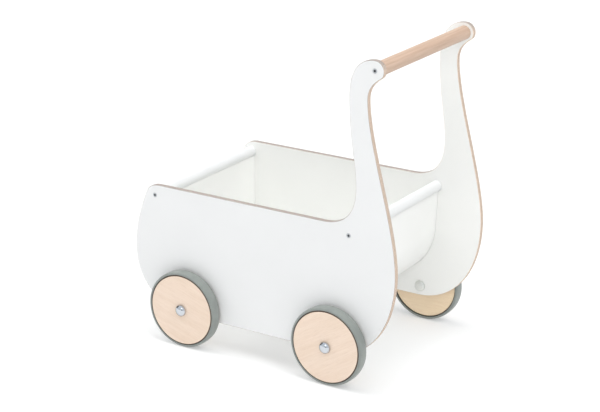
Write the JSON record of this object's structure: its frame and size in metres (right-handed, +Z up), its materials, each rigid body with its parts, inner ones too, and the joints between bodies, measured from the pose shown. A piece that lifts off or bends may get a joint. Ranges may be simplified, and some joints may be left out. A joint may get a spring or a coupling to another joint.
{
  "type": "doll stroller",
  "caption": "Wooden push-along doll stroller: open tub between two shaped side panels that rise to a dowel handle, on rubber-tyred wooden wheels.",
  "frame": {"origin": "on the floor, under the centre of the overall box", "axes": "+Z up, +X to the stroller's left, -Y the way it rolls"},
  "size_m": [0.3728, 0.522, 0.562],
  "materials": {
    "white_lacquer": "satin white lacquer on birch plywood, bare ply edges",
    "handle_wood": "clear-oiled hardwood dowel",
    "wheel_wood": "pale birch plywood face, clear matt lacquer",
    "rubber": "matt grey-green rubber",
    "nylon": "natural nylon",
    "chrome": "polished chrome plate",
    "dark_steel": "dark plated steel",
    "zinc_steel": "zinc plated steel"
  },
  "bodies": {
    "stroller_frame": {"side_panel_left": "white_lacquer", "side_panel_right": "white_lacquer", "tub_sheet": "white_lacquer", "front_rail": "white_lacquer", "rear_rail": "white_lacquer", "handle_bar": "handle_wood", "front_rail_left_screw": "dark_steel", "front_rail_left_insert": "zinc_steel", "front_rail_right_screw": "dark_steel", "front_rail_right_insert": "zinc_steel", "rear_rail_left_screw": "dark_steel", "rear_rail_left_insert": "zinc_steel", "rear_rail_right_screw": "dark_steel", "rear_rail_right_insert": "zinc_steel", "handle_left_screw": "dark_steel", "handle_left_insert": "zinc_steel", "handle_right_screw": "dark_steel", "handle_right_insert": "zinc_steel", "front_left_axle": "zinc_steel", "front_left_spacer": "nylon", "front_left_outer_cap": "chrome", "front_left_inner_cap": "chrome", "front_right_axle": "zinc_steel", "front_right_spacer": "nylon", "front_right_outer_cap": "chrome", "front_right_inner_cap": "chrome", "rear_left_axle": "zinc_steel", "rear_left_spacer": "nylon", "rear_left_outer_cap": "chrome", "rear_left_inner_cap": "chrome", "rear_right_axle": "zinc_steel", "rear_right_spacer": "nylon", "rear_right_outer_cap": "chrome", "rear_right_inner_cap": "chrome"},
    "front_left_wheel": {"front_left_wheel_disc": "wheel_wood", "front_left_tyre": "rubber", "front_left_bush": "nylon"},
    "front_right_wheel": {"front_right_wheel_disc": "wheel_wood", "front_right_tyre": "rubber", "front_right_bush": "nylon"},
    "rear_left_wheel": {"rear_left_wheel_disc": "wheel_wood", "rear_left_tyre": "rubber", "rear_left_bush": "nylon"},
    "rear_right_wheel": {"rear_right_wheel_disc": "wheel_wood", "rear_right_tyre": "rubber", "rear_right_bush": "nylon"}
  },
  "joints": [
    {"name": "front_left_wheel_spin", "type": "hinge", "parent": "stroller_frame", "child": "front_left_wheel", "pos_m": [0.17, -0.149, 0.06874], "axis": [1, 0, 0], "continuous": true},
    {"name": "front_right_wheel_spin", "type": "hinge", "parent": "stroller_frame", "child": "front_right_wheel", "pos_m": [-0.17, -0.149, 0.06874], "axis": [1, 0, 0], "continuous": true},
    {"name": "rear_left_wheel_spin", "type": "hinge", "parent": "stroller_frame", "child": "rear_left_wheel", "pos_m": [0.17, 0.1445, 0.06874], "axis": [1, 0, 0], "continuous": true},
    {"name": "rear_right_wheel_spin", "type": "hinge", "parent": "stroller_frame", "child": "rear_right_wheel", "pos_m": [-0.17, 0.1445, 0.06874], "axis": [1, 0, 0], "continuous": true}
  ]
}
